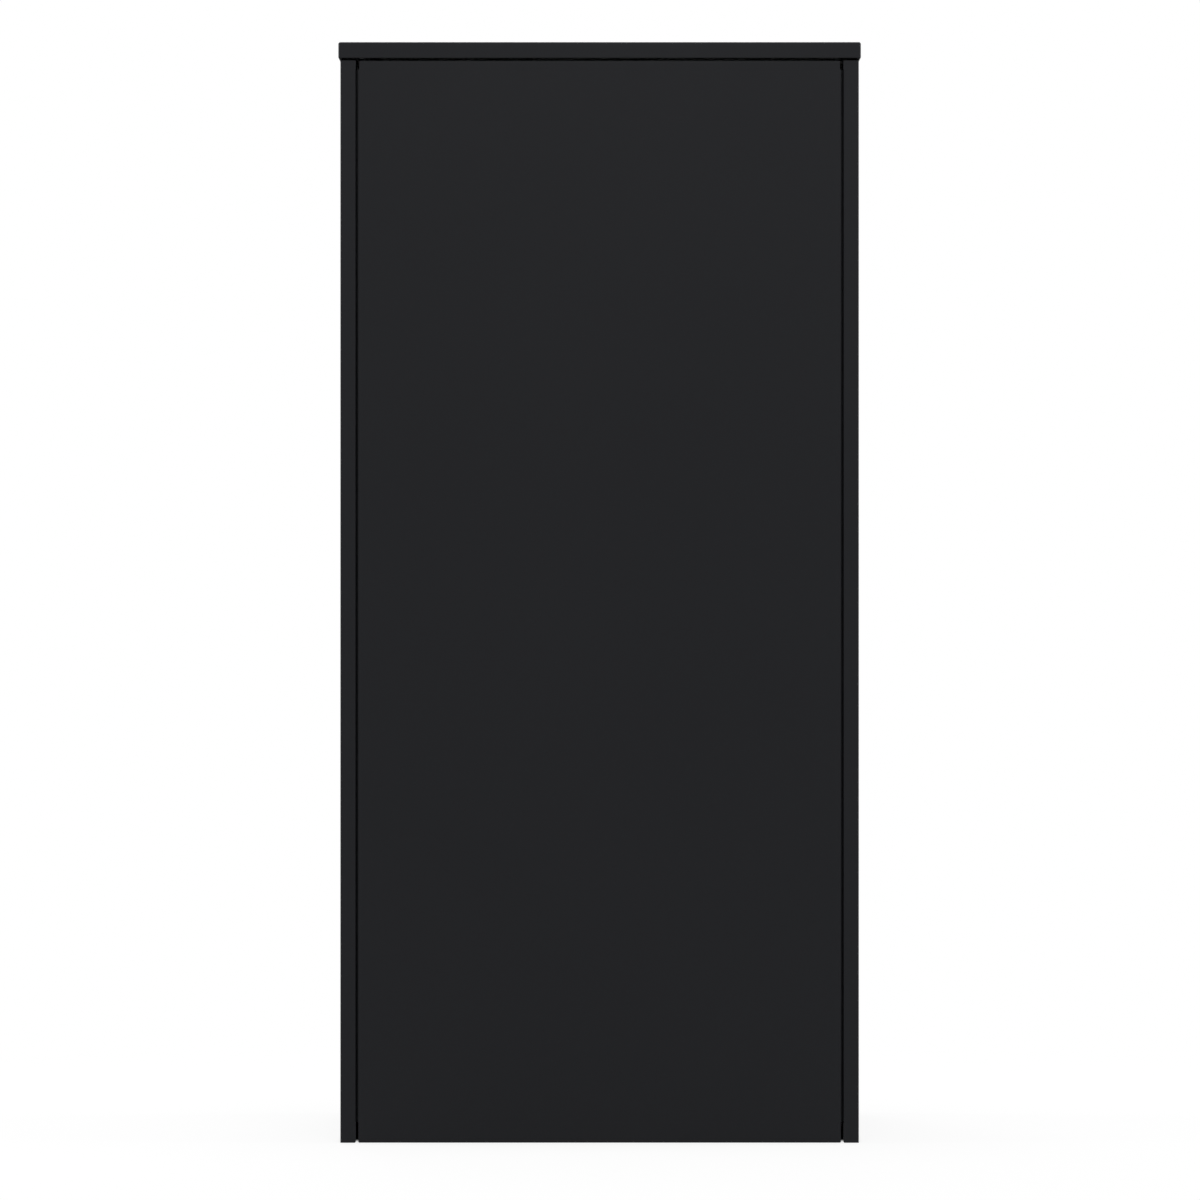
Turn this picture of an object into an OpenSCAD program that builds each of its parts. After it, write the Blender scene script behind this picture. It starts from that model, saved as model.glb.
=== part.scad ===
// Tall chest of drawers in folded sheet steel.
// X runs across the chest, the drawers open towards -Y, and Z is up.
// The origin is on the floor, under the middle of the chest with its handles.

/* [Cabinet] */
// Width over the two side panels
body_w = 518; // [440:1:700]
// Depth from the drawer fronts to the back panel
body_d = 400; // [390:1:520]
// Height from the floor to the top of the cap
total_h = 1100; // [950:1:1300]
// Thickness of the folded steel sheet
sheet_t = 1; // [0.8:0.1:1.2]
// Inside radius of a fold
fold_r = 0.6; // [0.4:0.1:1]
// Width of the flanges at the front and rear of each side panel
flange_w = 15.5; // [14:0.5:20]
// Depth of the lips that are folded in from the flanges
lip_d = 10; // [8:0.5:12]
// Width of the ledge behind each edge of the back panel
ledge_w = 16; // [14:0.5:20]
// Size of the cut-off inner bottom corners of the flanges
flange_chamfer = 1; // [1:0.5:6]
// How far the sheets stay above the floor
floor_gap = 0.5; // [0.3:0.1:3]

/* [Cap] */
// Height of the cap's folded-down edges
cap_h = 16; // [13:0.5:20]
// How far the cap stands out past the body on every side
cap_overhang = 2; // [1.6:0.1:4]
// Shadow gap between the cap and the panels below it
cap_gap = 2.3; // [1.5:0.1:4]
// Depth of the channels under the cap
cap_channel_d = 11; // [8:0.5:11]
// Width of the flat underside of those channels
cap_channel_w = 20; // [16:1:26]
// Width of the shelf on top of each side panel, which the cap is screwed to
shelf_w = 28; // [24:1:34]

/* [Back panel] */
// Width of the seam between the back panel and a side flange
back_seam = 1.9; // [1.2:0.1:4]
// Width of the rims on the back panel that are screwed to the ledges
back_rim_w = 13; // [11:0.5:16]
// How far the panel is cut in beside its top corners
top_notch_w = 1.5; // [0.5:0.1:2]
// How far the panel is cut in beside its bottom corners
bottom_notch_w = 0.6; // [0.5:0.1:2]
// Height of the cut-in at the top corners
top_notch_h = 9; // [5:0.5:15]
// Height of the cut-in at the bottom corners
bottom_notch_h = 20; // [10:0.5:30]
// Radius of the panel's four corners
back_corner_r = 1; // [1:0.5:4]
// Number of screws down each edge
back_screw_count = 5; // [3:1:8]

/* [Frame] */
// Height of the plinth under the lowest drawer
plinth_h = 45; // [40:1:60]
// Height of the edges of the base pan
pan_edge_h = 20; // [16:1:25]
// Height of each cross rail
rail_h = 20; // [16:1:20]
// Depth of each cross rail
rail_d = 16; // [14:1:20]
// Width of the face of an upright, which carries the runners
upright_w = 32; // [24:1:36]
// Width of the feet along both edges of an upright
upright_foot = 9; // [6:1:12]
// Thickness of the uprights
upright_t = 1.2; // [1:0.1:1.5]
// Distance from a flange lip to the upright behind it
upright_setback = 2; // [1:0.5:3]

/* [Drawers] */
// Number of drawers
drawer_count = 5; // [4:1:5]
// Seam around each drawer front
drawer_seam = 2.2; // [1.5:0.1:4]
// Depth of the edges of a drawer front
front_d = 18; // [17:0.5:22]
// Width of the rims on a drawer front that are screwed to its box
front_rim_w = 30; // [24:1:40]
// Height of a drawer box
box_h = 150; // [110:1:155]
// Height of a box's underside above the bottom of its front
box_lift = 12; // [11:0.5:20]
// Width of the doubled edge around the top of a box
box_hem_h = 10; // [6:1:15]
// How far a drawer opens
travel = 260; // [150:5:262]
// Diameter of the bumpers that a closed drawer rests against
bumper_d = 8; // [5:0.5:8]
// Thickness of those bumpers
bumper_t = 2; // [1:0.1:3]

/* [Runners] */
// Length of a runner
runner_l = 350; // [345:1:352]
// Height of a runner
runner_h = 35; // [34:0.5:45]
// Thickness of a runner
runner_t = 12.7; // [12.5:0.1:13]
// Thickness of the runner members
runner_sheet = 1.2; // [1:0.1:1.3]
// Height of the runner's middle above the underside of the box
runner_lift = 60; // [40:1:80]
// Gap between a runner and the edge of the flange in front of it
runner_inset = 0.3; // [0.2:0.1:1]
// Diameter of the balls
ball_d = 4.76; // [4.5:0.01:4.8]
// Play between a ball and the members around it
ball_play = 0.27; // [0.2:0.01:0.3]
// Number of balls in a row
ball_count = 6; // [4:1:7]
// Distance from one ball to the next
ball_pitch = 12; // [8:0.5:13]
// Thickness of a ball cage
cage_t = 0.8; // [0.5:0.1:0.8]

/* [Handles] */
// Distance between a handle's screws
handle_centres = 128; // [96:32:192]
// How far a handle stands out from the drawer front
handle_reach = 30; // [24:1:40]
// Thickness of the bar that a handle is bent from
handle_t = 8; // [7.5:0.5:12]
// Height of that bar
handle_h = 12; // [9:1:16]
// Inside radius of the handle's bends
handle_bend_r = 5; // [2:0.5:8]

/* [Feet] */
// Diameter of a foot's pad
foot_d = 30; // [20:1:40]
// Thickness of the pad
foot_pad_h = 6; // [4:0.5:10]
// Diameter of a foot's threaded stem
stem_d = 8; // [6:1:10]
// Distance from the front or back of the chest to the middle of a foot
foot_setback = 50; // [40:1:80]
// Distance from the outside of the chest to the middle of a foot
foot_inset = 44; // [44:1:80]
// Height of the foot's nuts
nut_h = 6; // [4:0.5:6.5]
// Width of the nuts across their flats
nut_across = 13; // [12:0.5:17]

/* [Screws] */
// Diameter of the screws
screw_d = 4; // [3:0.5:4]
// Diameter of a screw's head
head_d = 7.6; // [6:0.1:8]
// Height of a screw's head
head_h = 1.9; // [1.5:0.1:1.9]
// Length of a screw under its head
screw_l = 6; // [4:0.5:7]
// Length of the short screws that hold a runner to its drawer
short_screw_l = 3; // [2.5:0.1:4]
// Length of the handle screws under their heads
handle_screw_l = 8; // [6:0.5:12]
// Gap around a screw in its hole
screw_play = 0.1; // [0.05:0.05:0.3]

/* [Hidden] */
fold_steps = 5;
cut = 1;
outer_fold = sheet_t + fold_r;
hole_cut = 6 * sheet_t;
weld_gap = 0.1;
coat = "#252628";
zinc = "#b9bcbf";

// Front and back of the body, set so that the handles and the cap reach equally far
front_y = (handle_reach - body_d - cap_overhang) / 2;
back_y = front_y + body_d;
mid_y = (front_y + back_y) / 2;
side_x = body_w / 2;
flange_x = side_x - flange_w;
flange_top = total_h - cap_h - cap_gap;
rebate_y = back_y - lip_d;
shelf_z = total_h - sheet_t - cap_channel_d;

// Drawer fronts fill the height between the plinth and the cap
front_w = 2 * (flange_x - drawer_seam);
front_h = (flange_top - plinth_h) / drawer_count - drawer_seam;
function drawer_z(i) = flange_top - i * (front_h + drawer_seam) + drawer_seam;
function seam_z(i) = i == 0 ? flange_top - rail_h / 2 - drawer_seam : drawer_z(i) - drawer_seam / 2;
function handle_z(i) = drawer_z(i) + front_h / 2;
function runner_z(i) = drawer_z(i) + box_lift + runner_lift;

// Runner members, measured from the face of the upright towards the drawer
runner_x = flange_x - runner_inset;
member_gap = 1.5;
lip_u = runner_t - member_gap - runner_sheet;
ball_u = lip_u - ball_play - ball_d / 2;
ball_v = runner_h / 2 - runner_sheet - ball_play - ball_d / 2;
inner_v = ball_v - ball_d / 2 - ball_play;
inner_u = ball_u - ball_d / 2;
cage_gap = 0.8;
cage_u = inner_u - cage_gap - cage_t;
runner_lip = 3.5;
cage_end = (ball_pitch + ball_d) / 2;
cage_l = (ball_count - 1) * ball_pitch + 2 * cage_end;

// Rows of pieces from front to back
box_x = runner_x - runner_t;
box_y = front_y + front_d;
runner_setback = 4;
runner_y = box_y + runner_setback;
box_l = runner_l + runner_setback;
cage_margin = 5;
cage_y = runner_y + cage_margin + travel / 2;
rail_y = box_y + bumper_t;
upright_l = upright_w + 2 * upright_foot;
front_upright_y = front_y + lip_d + upright_setback + upright_l / 2;
// The rear uprights stand by the ends of the runners, and clear of the back panel's screws
runner_hole_setback = 12;
rear_upright_limit = rebate_y - sheet_t - head_h - upright_setback - upright_l / 2;
rear_upright_y = min(runner_y + runner_l - runner_hole_setback, rear_upright_limit);
runner_screw_ys = [front_upright_y, rear_upright_y];

// Places of screws
head_gap = 4;
front_screw_margin = 20;
slide_screw_margin = 30;
cap_screw_margin = 40;
back_screw_margin = 60;
front_screw_x = box_x - head_d / 2 - head_gap;
front_screw_zs = [box_lift + front_screw_margin, box_lift + box_h - front_screw_margin];
slide_screw_ys = [runner_y + slide_screw_margin, runner_y + runner_l - slide_screw_margin];
rail_screw_y = rail_y + sheet_t + (rail_d - sheet_t) / 2;
cap_screw_x = side_x - shelf_w + head_d / 2 + head_gap;
cap_screw_ys = [front_y + cap_screw_margin, mid_y, back_y - cap_screw_margin];
plinth_screw_xs = [for (k = [-3, -1, 1, 3]) k * front_w / 8];
plinth_screw_z = plinth_h - pan_edge_h / 2;
ledge_screw_x = flange_x - back_seam - back_rim_w / 2;
access_hole_d = head_d + head_gap;
stem_hole_d = stem_d + 1;
foot_x = side_x - foot_inset;
foot_ys = [front_y + foot_setback, back_y - foot_setback];

// ---- Folded sheet ----

function unit(v) = v / norm(v);
function left_of(v) = [-v[1], v[0]];
function turned(v, a) = [v[0] * cos(a) - v[1] * sin(a), v[0] * sin(a) + v[1] * cos(a)];
function turn_between(p, q) = atan2(p[0] * q[1] - p[1] * q[0], p * q);

// One face of a folded sheet, moved to the left of its path by shift, with an arc at each fold.
// The sheet's thickness t lies to the left of the path, or to the right where t is negative.
function folded_face(path, t, r, shift) = [
    for (i = [0 : len(path) - 1])
        let (last = len(path) - 1, ahead = unit(path[min(i + 1, last)] - path[min(i, last - 1)]))
        if (i == 0 || i == last) path[i] + shift * left_of(ahead)
        else
            let (
                way = unit(path[i] - path[i - 1]),
                turn = turn_between(way, ahead),
                side = sign(turn),
                radius = turn * t > 0 ? r + abs(t) : r,
                centre = path[i] - radius * tan(abs(turn) / 2) * way + side * radius * left_of(way)
            )
            for (k = [0 : fold_steps])
                centre - side * (radius - side * shift) * left_of(turned(way, turn * k / fold_steps))
];

function backwards(list) = [for (i = [len(list) - 1 : -1 : 0]) list[i]];

// Outline of a folded sheet, from both of its faces
module fold(path, t = sheet_t, r = fold_r) {
    polygon(concat(folded_face(path, t, r, 0), backwards(folded_face(path, t, r, t))));
}

// Rectangle with round corners
module rounded(w, h, r) {
    polygon([for (c = [[1, 1, 0], [-1, 1, 90], [-1, -1, 180], [1, -1, 270]]) for (k = [0 : fold_steps])
        let (a = c[2] + 90 * k / fold_steps)
        [c[0] * (w / 2 - r) + r * cos(a), c[1] * (h / 2 - r) + r * sin(a)]]);
}

module along_x(from, to) {
    translate([from, 0, 0]) rotate([90, 0, 90]) linear_extrude(to - from) children();
}

module along_y(from, to) {
    translate([0, to, 0]) rotate([90, 0, 0]) linear_extrude(to - from) children();
}

module along_z(from, to) {
    translate([0, 0, from]) linear_extrude(to - from) children();
}

module block(x, y, z) {
    translate([x[0], y[0], z[0]]) cube([x[1] - x[0], y[1] - y[0], z[1] - z[0]]);
}

// Shallow tray, face up at z = 0, with its edges folded down and welded at the corners
module tray(w, l, h, r = outer_fold) {
    difference() {
        intersection() {
            along_z(-h, 0) rounded(w, l, r);
            along_y(-l, l) translate([0, -h]) rounded(w, 2 * h, r);
            along_x(-w, w) translate([0, -h]) rounded(l, 2 * h, r);
        }
        block([sheet_t - w / 2, w / 2 - sheet_t], [sheet_t - l / 2, l / 2 - sheet_t], [-h - cut, -sheet_t]);
    }
}

module mirrored() {
    children();
    mirror([1, 0, 0]) children();
}

// ---- Screws and their holes ----

// Screw that points along +Z, with the underside of its head at z = 0
module screw(length = screw_l) {
    taper = 1.2;
    cylinder(d = screw_d, h = length, $fn = 24);
    mirror([0, 0, 1]) cylinder(d1 = head_d, d2 = head_d - taper, h = head_h, $fn = 32);
}

module screw_hole(depth = hole_cut) {
    cylinder(d = screw_d + 2 * screw_play, h = depth, center = true, $fn = 32);
}

// The same places serve the screws and the holes that they pass through
module at_cap_screws() {
    mirrored() for (y = cap_screw_ys) translate([cap_screw_x, y, shelf_z - sheet_t]) children();
}

module at_back_screws() {
    start = floor_gap + back_screw_margin;
    pitch = (flange_top - back_screw_margin - start) / (back_screw_count - 1);
    mirrored() for (k = [0 : back_screw_count - 1])
        translate([ledge_screw_x, rebate_y - sheet_t, start + k * pitch])
            rotate([-90, 0, 0]) children();
}

module at_rail_screws() {
    mirrored() for (i = [0 : drawer_count - 1])
        translate([runner_x - sheet_t, rail_screw_y, seam_z(i)]) rotate([0, 90, 0]) children();
}

module at_runner_screws() {
    mirrored() for (i = [1 : drawer_count]) for (y = runner_screw_ys)
        translate([runner_x - runner_sheet, y, runner_z(i)]) rotate([0, 90, 0]) children();
}

module at_plinth_screws() {
    for (x = plinth_screw_xs)
        translate([x, box_y + sheet_t, plinth_screw_z]) rotate([90, 0, 0]) children();
}

module at_front_screws(i) {
    mirrored() for (z = front_screw_zs)
        translate([front_screw_x, box_y + sheet_t, drawer_z(i) + z]) rotate([90, 0, 0]) children();
}

module at_slide_screws(i) {
    mirrored() for (y = slide_screw_ys)
        translate([box_x + runner_sheet, y, runner_z(i)]) rotate([0, -90, 0]) children();
}

module at_handle_screws(i) {
    mirrored() translate([handle_centres / 2, front_y + sheet_t, handle_z(i)]) rotate([90, 0, 0]) children();
}

// ---- Cabinet ----

module top_cap() {
    color(coat) translate([0, mid_y, total_h])
        tray(body_w + 2 * cap_overhang, body_d + 2 * cap_overhang, cap_h);
}

// Hat-shaped channels welded under the cap, one above each side panel's shelf
module cap_channels() {
    top = total_h - 2 * sheet_t;
    foot = 7;
    setback = 12;
    start = cap_screw_x - cap_channel_w / 2;
    end = cap_screw_x + cap_channel_w / 2;
    color(coat) difference() {
        mirrored() along_y(front_y + setback, back_y - setback)
            fold([[start - foot, top], [start, top], [start, shelf_z],
                [end, shelf_z], [end, top], [end + foot, top]]);
        at_cap_screws() screw_hole();
    }
}

// Right side panel: one wall with folded flanges, a rebate for the back panel and a shelf on top
module side_panel() {
    front_flange = [[flange_x, front_y], [side_x, front_y]];
    rear_flange = [[side_x, back_y], [flange_x, back_y]];
    front_lip = [[flange_x, front_y + lip_d]];
    rebate = [[flange_x, rebate_y], [flange_x - ledge_w, rebate_y]];
    low = floor_gap + bottom_notch_h;
    high = flange_top - top_notch_h;
    difference() {
        union() {
            along_z(low, high) fold(concat(front_lip, front_flange, rear_flange, rebate));
            along_z(floor_gap, low) fold(concat(front_flange, rear_flange));
            along_z(high, flange_top) fold(concat(front_flange, rear_flange));
            along_y(front_y + 2 * outer_fold, back_y - 2 * outer_fold)
                fold([[side_x, flange_top], [side_x, shelf_z], [side_x - shelf_w, shelf_z]]);
        }
        along_y(front_y - cut, back_y + cut)
            polygon([[flange_x - cut, floor_gap - cut], [flange_x + flange_chamfer + cut, floor_gap - cut],
                [flange_x - cut, floor_gap + flange_chamfer + cut]]);
        at_cap_screws() screw_hole();
        at_back_screws() screw_hole();
    }
}

module right_side() {
    color(coat) side_panel();
}

module left_side() {
    color(coat) mirror([1, 0, 0]) side_panel();
}

// One end of the back panel, between its notches and with its outer corners rounded
module rounded_end(half_w) {
    intersection() {
        along_x(-half_w, half_w) children();
        along_y(rebate_y - cut, back_y + cut) translate([0, (floor_gap + flange_top) / 2])
            rounded(2 * half_w, flange_top - floor_gap, back_corner_r);
    }
}

// Back panel: its rims lie on the ledges of the side panels, so no screw shows from behind
module back_panel() {
    edge_x = flange_x - back_seam;
    rim_x = edge_x - back_rim_w;
    rim_y = rebate_y;
    low = floor_gap + bottom_notch_h;
    high = flange_top - top_notch_h;
    color(coat) difference() {
        union() {
            along_z(low, high)
                fold([[rim_x, rim_y], [edge_x, rim_y], [edge_x, back_y], [-edge_x, back_y],
                    [-edge_x, rim_y], [-rim_x, rim_y]]);
            rounded_end(edge_x - bottom_notch_w)
                fold([[back_y, low], [back_y, floor_gap], [rebate_y, floor_gap]], -sheet_t);
            rounded_end(edge_x - top_notch_w)
                fold([[rebate_y, flange_top], [back_y, flange_top], [back_y, high]], -sheet_t);
        }
        at_back_screws() screw_hole();
    }
}

module base_pan() {
    depth = rebate_y - sheet_t - box_y;
    color(coat) difference() {
        translate([0, box_y + depth / 2, plinth_h]) tray(2 * (side_x - sheet_t), depth, pan_edge_h);
        mirrored() for (y = foot_ys) translate([foot_x, y, plinth_h])
            cylinder(d = stem_hole_d, h = hole_cut, center = true, $fn = 48);
        at_plinth_screws() screw_hole();
    }
}

module front_plinth() {
    color(coat) difference() {
        along_x(-front_w / 2, front_w / 2)
            fold([[box_y, plinth_h - pan_edge_h], [box_y, plinth_h], [front_y, plinth_h],
                [front_y, floor_gap], [front_y + lip_d, floor_gap]]);
        at_plinth_screws() screw_hole();
    }
}

// Hat-shaped upright on the right side panel, around the line y = middle
module upright(middle) {
    wall = side_x - sheet_t - upright_t;
    color(coat) difference() {
        translate([0, middle, 0]) along_z(plinth_h, flange_top)
            fold([[wall, upright_l / 2], [wall, upright_w / 2], [runner_x, upright_w / 2],
                [runner_x, -upright_w / 2], [wall, -upright_w / 2], [wall, -upright_l / 2]], upright_t);
        at_rail_screws() screw_hole();
        at_runner_screws() screw_hole();
    }
}

module front_right_upright() {
    upright(front_upright_y);
}

module front_left_upright() {
    mirror([1, 0, 0]) upright(front_upright_y);
}

module rear_right_upright() {
    upright(rear_upright_y);
}

module rear_left_upright() {
    mirror([1, 0, 0]) upright(rear_upright_y);
}

// Channel across the cabinet behind the seam under drawer i, with a plate at each end
module cross_rail(i) {
    color(coat) difference() {
        translate([0, 0, seam_z(i)]) {
            along_x(-runner_x, runner_x)
                fold([[rail_y + rail_d, -rail_h / 2], [rail_y, -rail_h / 2], [rail_y, rail_h / 2],
                    [rail_y + rail_d, rail_h / 2]], -sheet_t);
            mirrored() block([runner_x - sheet_t, runner_x], [rail_y + sheet_t / 2, rail_y + rail_d],
                [(sheet_t - rail_h) / 2, (rail_h - sheet_t) / 2]);
        }
        at_rail_screws() screw_hole();
    }
}

// Two bumpers on each rail for the drawer under it
module drawer_bumpers() {
    gap = 1;
    x = flange_x - drawer_seam - sheet_t - gap - bumper_d / 2;
    color("#1c1c1e") mirrored() for (i = [0 : drawer_count - 1])
        translate([x, rail_y, seam_z(i) - rail_h / 2 + bumper_d / 2]) rotate([90, 0, 0])
            cylinder(d = bumper_d, h = bumper_t, $fn = 40);
}

// ---- Feet ----

module levelling_feet() {
    chamfer = 1;
    collar = 3;
    pad_r = foot_d / 2;
    stem_r = stem_d / 2 - screw_play;
    stem_top = plinth_h + nut_h + 2 * chamfer;
    color("#1c1c1e") mirrored() for (y = foot_ys) translate([foot_x, y, 0])
        rotate_extrude($fn = 64)
            polygon([[0, 0], [pad_r - chamfer, 0], [pad_r, chamfer], [pad_r, foot_pad_h / 2],
                [stem_r + collar, foot_pad_h], [stem_r, foot_pad_h],
                [stem_r, stem_top - chamfer], [stem_r - chamfer, stem_top], [0, stem_top]]);
}

// A nut above and a nut below the base pan on each foot
module foot_nuts() {
    color(zinc) mirrored() for (y = foot_ys) for (z = [plinth_h, plinth_h - sheet_t - nut_h])
        translate([foot_x, y, z]) difference() {
            cylinder(d = nut_across / cos(30), h = nut_h, $fn = 6);
            translate([0, 0, -cut]) cylinder(d = stem_d, h = nut_h + 2 * cut, $fn = 48);
        }
}

// ---- Cabinet screws ----

module cap_screws() {
    color(zinc) at_cap_screws() screw();
}

module back_screws() {
    color(zinc) at_back_screws() screw();
}

module rail_screws() {
    color(zinc) at_rail_screws() screw();
}

module runner_screws() {
    color(zinc) at_runner_screws() screw();
}

module plinth_screws() {
    color(zinc) at_plinth_screws() screw();
}

// ---- Drawers ----

// Folded front with a rim down each side, which the box is screwed to
module drawer_front(i) {
    rim_end = front_w / 2 - front_rim_w;
    color(coat) difference() {
        translate([0, front_y, drawer_z(i)]) union() {
            translate([0, 0, front_h / 2]) rotate([90, 0, 0]) tray(front_w, front_h, front_d);
            mirrored() block([rim_end, (front_w - sheet_t) / 2], [front_d - sheet_t, front_d],
                [sheet_t / 2, front_h - sheet_t / 2]);
        }
        at_front_screws(i) screw_hole();
        at_handle_screws(i) screw_hole();
    }
}

// Wall of a box with its top edge doubled inwards, from x = 0 and with its outer face at y = 0
module box_wall(length, hem_setback) {
    block([0, length], [0, sheet_t], [0, box_h]);
    block([hem_setback, length - hem_setback], [sheet_t, 2 * sheet_t], [box_h - box_hem_h, box_h]);
}

// Box welded from four walls and a bottom, with holes at the front to reach the handle's screws
module drawer_box(i) {
    inner_x = box_x - sheet_t - weld_gap;
    color(coat) difference() {
        translate([0, box_y, drawer_z(i) + box_lift]) {
            mirrored() translate([box_x, 0, 0]) rotate(90) box_wall(box_l, sheet_t + weld_gap);
            translate([-inner_x, 0, 0]) box_wall(2 * inner_x, sheet_t);
            translate([-inner_x, box_l, 0]) mirror([0, 1, 0]) box_wall(2 * inner_x, sheet_t);
            block([-inner_x, inner_x], [sheet_t + weld_gap, box_l - sheet_t - weld_gap], [0, sheet_t]);
        }
        at_front_screws(i) screw_hole();
        at_slide_screws(i) screw_hole();
        at_handle_screws(i) translate([0, 0, -front_d])
            cylinder(d = access_hole_d, h = hole_cut, center = true, $fn = 48);
    }
}

// Bow handle bent from flat bar
module drawer_handle(i) {
    leg_x = (handle_centres + handle_t) / 2;
    color(coat) difference() {
        along_z(handle_z(i) - handle_h / 2, handle_z(i) + handle_h / 2)
            fold([[leg_x, front_y], [leg_x, front_y - handle_reach], [-leg_x, front_y - handle_reach],
                [-leg_x, front_y]], -handle_t, handle_bend_r);
        at_handle_screws(i) screw_hole(2 * (handle_screw_l + cut));
    }
}

// Runner members that are screwed to the box
module drawer_slides(i) {
    color(zinc) difference() {
        mirrored() along_y(runner_y, runner_y + runner_l) translate([runner_x, runner_z(i)])
            fold([[-inner_u, inner_v], [-runner_t, inner_v], [-runner_t, -inner_v], [-inner_u, -inner_v]],
                runner_sheet);
        at_slide_screws(i) screw_hole();
    }
}

module drawer_screws(i) {
    color(zinc) {
        at_front_screws(i) screw();
        at_slide_screws(i) screw(short_screw_l);
        at_handle_screws(i) screw(handle_screw_l);
    }
}

// ---- Runners ----

// Runner members that are screwed to the uprights
module runner_channels(i) {
    lip_x = -lip_u - runner_sheet;
    top = runner_h / 2;
    color(zinc) difference() {
        mirrored() along_y(runner_y, runner_y + runner_l) translate([runner_x, runner_z(i)])
            fold([[lip_x, runner_lip - top], [lip_x, -top], [0, -top], [0, top], [lip_x, top],
                [lip_x, top - runner_lip]], runner_sheet);
        at_runner_screws() screw_hole();
    }
}

// Cages with a row of balls above and below the drawer's member; they travel half as far as the drawer
module runner_ball_cages(i) {
    reach = ball_v + cage_t / 2;
    edge_gap = 0.5;
    cage_fold_r = 0.3;
    cage_tip = lip_u - edge_gap;
    color(zinc) mirrored() translate([runner_x, cage_y, runner_z(i)]) {
        difference() {
            along_y(0, cage_l)
                fold([[-cage_tip, -reach], [-cage_u, -reach], [-cage_u, reach], [-cage_tip, reach]],
                    cage_t, cage_fold_r);
            at_balls() cylinder(d = ball_d + ball_play, h = 4 * cage_t, center = true, $fn = 40);
        }
        at_balls() sphere(d = ball_d, $fn = 32);
    }
}

module at_balls() {
    for (v = [-ball_v, ball_v]) for (k = [0 : ball_count - 1])
        translate([-ball_u, cage_end + k * ball_pitch, v]) children();
}

top_cap();
cap_channels();
left_side();
right_side();
back_panel();
base_pan();
front_plinth();
front_left_upright();
front_right_upright();
rear_left_upright();
rear_right_upright();
cross_rail(0);  // top_rail
for (i = [1 : drawer_count - 1])
    cross_rail(i);
drawer_bumpers();
levelling_feet();
foot_nuts();
cap_screws();
back_screws();
rail_screws();
runner_screws();
plinth_screws();
for (i = [1 : drawer_count]) {
    drawer_front(i);
    drawer_box(i);
    drawer_handle(i);
    drawer_slides(i);
    drawer_screws(i);
    runner_channels(i);
    runner_ball_cages(i);
}
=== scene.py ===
import bpy
import numpy as np
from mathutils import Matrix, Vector


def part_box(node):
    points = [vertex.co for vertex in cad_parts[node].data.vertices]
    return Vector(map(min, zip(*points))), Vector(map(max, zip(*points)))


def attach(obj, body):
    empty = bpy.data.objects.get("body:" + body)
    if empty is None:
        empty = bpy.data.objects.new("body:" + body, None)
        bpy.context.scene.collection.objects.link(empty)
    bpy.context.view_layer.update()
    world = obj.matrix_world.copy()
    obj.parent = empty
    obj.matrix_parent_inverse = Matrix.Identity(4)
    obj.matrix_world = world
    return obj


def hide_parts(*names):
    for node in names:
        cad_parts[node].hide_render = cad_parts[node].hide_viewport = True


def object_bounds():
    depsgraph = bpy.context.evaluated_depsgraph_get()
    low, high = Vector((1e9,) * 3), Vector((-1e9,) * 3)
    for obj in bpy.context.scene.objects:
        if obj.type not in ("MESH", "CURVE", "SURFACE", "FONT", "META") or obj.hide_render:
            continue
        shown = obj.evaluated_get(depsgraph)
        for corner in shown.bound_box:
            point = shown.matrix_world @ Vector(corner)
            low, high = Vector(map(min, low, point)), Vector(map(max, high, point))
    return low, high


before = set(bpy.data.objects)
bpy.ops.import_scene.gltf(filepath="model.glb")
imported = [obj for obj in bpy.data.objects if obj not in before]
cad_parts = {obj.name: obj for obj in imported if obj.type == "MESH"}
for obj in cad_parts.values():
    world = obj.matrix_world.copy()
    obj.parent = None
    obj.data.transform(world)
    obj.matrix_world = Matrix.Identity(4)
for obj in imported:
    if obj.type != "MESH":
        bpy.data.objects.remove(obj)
cadLow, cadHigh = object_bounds()
mm = 0.001
drawers = [1, 2, 3, 4, 5]
rails = {"topRail": "top_rail", **{f"crossRail{i}": f"cross_rail_{i}" for i in drawers[:-1]}}
print("frame loaded")

# How every sheet is meshed, in millimetres: its smallest edge, how far past a fold or a rounded edge the
# points lie that keep the flat beside it flat, and the points on a rounded edge with the angle of the first
mesher = {"least": 0.02, "foldSupport": 0.15, "edgeSupport": 0.2, "edgePoints": 4, "firstAngle": 0.15}


# Vectors scaled to length 1: v / |v|
def unitRows(v):
    return v / np.linalg.norm(v, axis=-1, keepdims=True)


# Corners of a node's box, in millimetres
def boxOf(node):
    low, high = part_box(node)
    return np.array(low) / mm, np.array(high) / mm


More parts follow.
